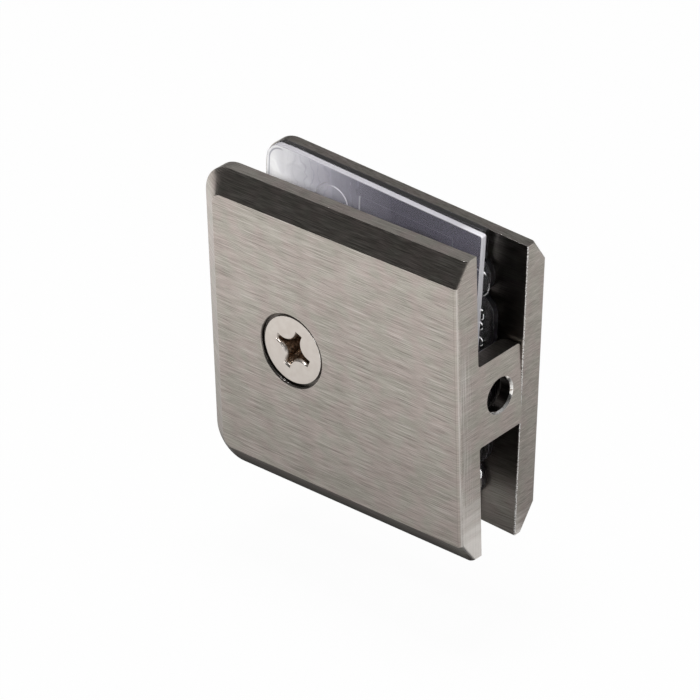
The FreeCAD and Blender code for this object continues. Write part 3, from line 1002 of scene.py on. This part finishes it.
# Painted light and shadow that the metal mirrors of the floor: where each light or dark part lies, and its
# level
near_reach, painted_shadow_levels = (0.012, 0.030), (0.10, 0.55)
far_reach, far_level = (0.030, 0.110), 0.50
glow_front, glow_back, glow_wall, painted_glow_level = (0.006, 0.013), (0.019, 0.030), (-0.012, -0.004), 1.15
fall_reach, fall_level = (0.16, 0.34), 0.06
behind_reach, behind_level = (0.0, 0.012), 0.76
left_reach, left_depth, left_painted_light = (-0.120, -0.078), (-0.012, 0.010), 1.26


def painted_floor_level(tree):
    """Painted level of the floor in a mirror: a painted shadow under the clamp but for a painted glow
    behind its wall side, painted light further out and brighter at the left, and dark far away."""
    spot = by_axis(tree, "Object")
    beside = math_node(tree, "ABSOLUTE", math_node(tree, "ADD", spot[0], clamp_middle))
    beyond = math_node(tree, "MAXIMUM", math_node(tree, "SUBTRACT", beside, clamp_middle), 0.0)
    flat = add(tree, "CombineXYZ", {0: beyond, 1: spot[1]}).outputs[0]
    reach = add(tree, "VectorMath", {0: flat}, operation="LENGTH").outputs[1]
    glow = product(tree, stretch(tree, spot[1], *glow_front), stretch(tree, spot[1], *glow_back, 1.0, 0.0))
    glow = product(tree, glow, stretch(tree, spot[0], *glow_wall, 0.0, painted_glow_level))
    # Painted shadow under the clamp, with a painted glow behind its wall side
    under = math_node(tree, "MAXIMUM", stretch(tree, reach, *near_reach, *painted_shadow_levels), glow)
    rise = math_node(tree, "ADD", under, stretch(tree, reach, *far_reach, 0.0, far_level))
    fall = stretch(tree, spot[1], *fall_reach, 1.0, fall_level)
    behind = stretch(tree, spot[1], *behind_reach, 1.0, behind_level)
    left = product(tree, stretch(tree, spot[0], *left_reach, 1.0, 0.0),
                   stretch(tree, spot[1], *left_depth))
    left = stretch(tree, left, 0.0, 1.0, 1.0, left_painted_light)
    return product(tree, product(tree, rise, fall), product(tree, behind, left))


def floor_material():
    """White for the camera with a faint shadow, paper for the light, and in mirrors its own painted level
    of light and shadow.
    """
    material = bpy.data.materials.new("pale_floor")
    material.use_nodes = True
    tree = material.node_tree
    tree.nodes.clear()
    ray = add(tree, "LightPath").outputs
    paper = add(tree, "BsdfDiffuse", {"Color": paper_white}).outputs[0]
    mirrored = add(tree, "Emission", {"Color": mirrored_white, "Strength": painted_floor_level(tree)}).outputs[0]
    clear = add(tree, "Emission", {"Color": white, "Strength": 1.0}).outputs[0]
    seen = product(tree, ray["Is Camera Ray"], camera_share)
    seen = math_node(tree, "MAXIMUM", seen, ray["Is Transmission Ray"])
    base = add(tree, "MixShader", {0: ray["Is Glossy Ray"], 1: paper, 2: mirrored}).outputs[0]
    mix = add(tree, "MixShader", {0: seen, 1: base, 2: clear}).outputs[0]
    add(tree, "OutputMaterial", {0: mix})
    return material


side = floor_size / 2
floor_mesh = bpy.data.meshes.new("floor")
floor_mesh.from_pydata([(-side, -side, floor_level), (side, -side, floor_level),
                        (side, side, floor_level), (-side, side, floor_level)], [], [(0, 1, 2, 3)])
floor_mesh.materials.append(floor_material())
new_object("floor", floor_mesh)

# Lamps: name, place, what it is aimed at, width and height, watts, pieces it lights if not all
lamps = (
    ("top_softbox", (-0.03, -0.03, 0.70), (-0.025, 0.0, 0.0), (0.20, 0.28), 3.6, None),
    ("left_fill", (-0.16, -0.30, 0.40), (-0.03, 0.0, 0.02), (0.15, 0.15), 0.7, [front_gasket]),
    ("front_fill", (0.46, -0.47, 0.36), (-0.025, 0.0, 0.0), (0.24, 0.12), 7.5, [front_gasket] + beads),
    ("head_glint", (0.40, -0.53, 0.30), (-0.0325, -0.01, 0.0), (0.16, 0.10), 0.7, [clamp_screw]))


def softbox(name, place, aim, size, power, pieces):
    """Soft lamp aimed at a point, which may light only some pieces."""
    lamp = bpy.data.lights.new(name, "AREA")
    lamp.shape = "RECTANGLE"
    lamp.size, lamp.size_y = size
    lamp.energy = power
    holder = new_object(name, lamp)
    holder.location = place
    holder.rotation_euler = (Vector(aim) - Vector(place)).to_track_quat("-Z", "Y").to_euler()
    holder.visible_camera = False
    if pieces:
        group = bpy.data.collections.new(name + "_pieces")
        for piece in pieces:
            group.objects.link(piece)
        holder.light_linking.receiver_collection = group


for lamp_values in lamps:
    softbox(*lamp_values)


# Room
# White behind the clamp for the camera. What the metal mirrors of it is dim in front and below,
# and lighter towards the back and the top, as the walls of the tent are.

room_depth, room_depth_levels = (-0.6, 0.7), (0.06, 0.36)
room_height, room_height_levels = (0.0, 0.45), (0.35, 1.0)

world = bpy.data.worlds.new("studio")
world.use_nodes = True
bpy.context.scene.world = world
room = world.node_tree
room.nodes.clear()
towards = by_axis(room, "Generated")
room_level = product(room, stretch(room, towards[1], *room_depth, *room_depth_levels),
                     stretch(room, towards[2], *room_height, *room_height_levels))
mirrored_room = add(room, "Background", {"Color": white, "Strength": room_level}).outputs[0]
seen_room = add(room, "Background", {"Color": white, "Strength": 1.0}).outputs[0]
to_camera = add(room, "LightPath").outputs["Is Camera Ray"]
sky = add(room, "MixShader", {0: to_camera, 1: mirrored_room, 2: seen_room}).outputs[0]
add(room, "OutputWorld", {0: sky})


# Camera
# A long lens, in front of the clamp, above it and towards the wall, at the angle that fits the
# edges in the photo.

azimuth = math.radians(42.05)
elevation = math.radians(30.49)
roll = math.radians(-1.86)
distance = 0.72653
aim = Vector((-0.026527, -0.003008, -0.000619))
focal_length = 250.95
sensor = 36.0

backward = Vector((math.sin(azimuth) * math.cos(elevation), -math.cos(azimuth) * math.cos(elevation),
                   math.sin(elevation)))
level_right = Vector((math.cos(azimuth), math.sin(azimuth), 0))
level_up = backward.cross(level_right)
right = math.cos(roll) * level_right + math.sin(roll) * level_up
up = math.cos(roll) * level_up - math.sin(roll) * level_right
lens = bpy.data.cameras.new("camera")
lens.sensor_width = sensor
lens.lens = focal_length
camera = new_object("camera", lens)
turned = Matrix((right, up, backward)).transposed().to_4x4()
camera.matrix_world = Matrix.Translation(aim + distance * backward) @ turned
bpy.context.scene.camera = camera
bpy.context.scene.view_settings.view_transform = "Standard"
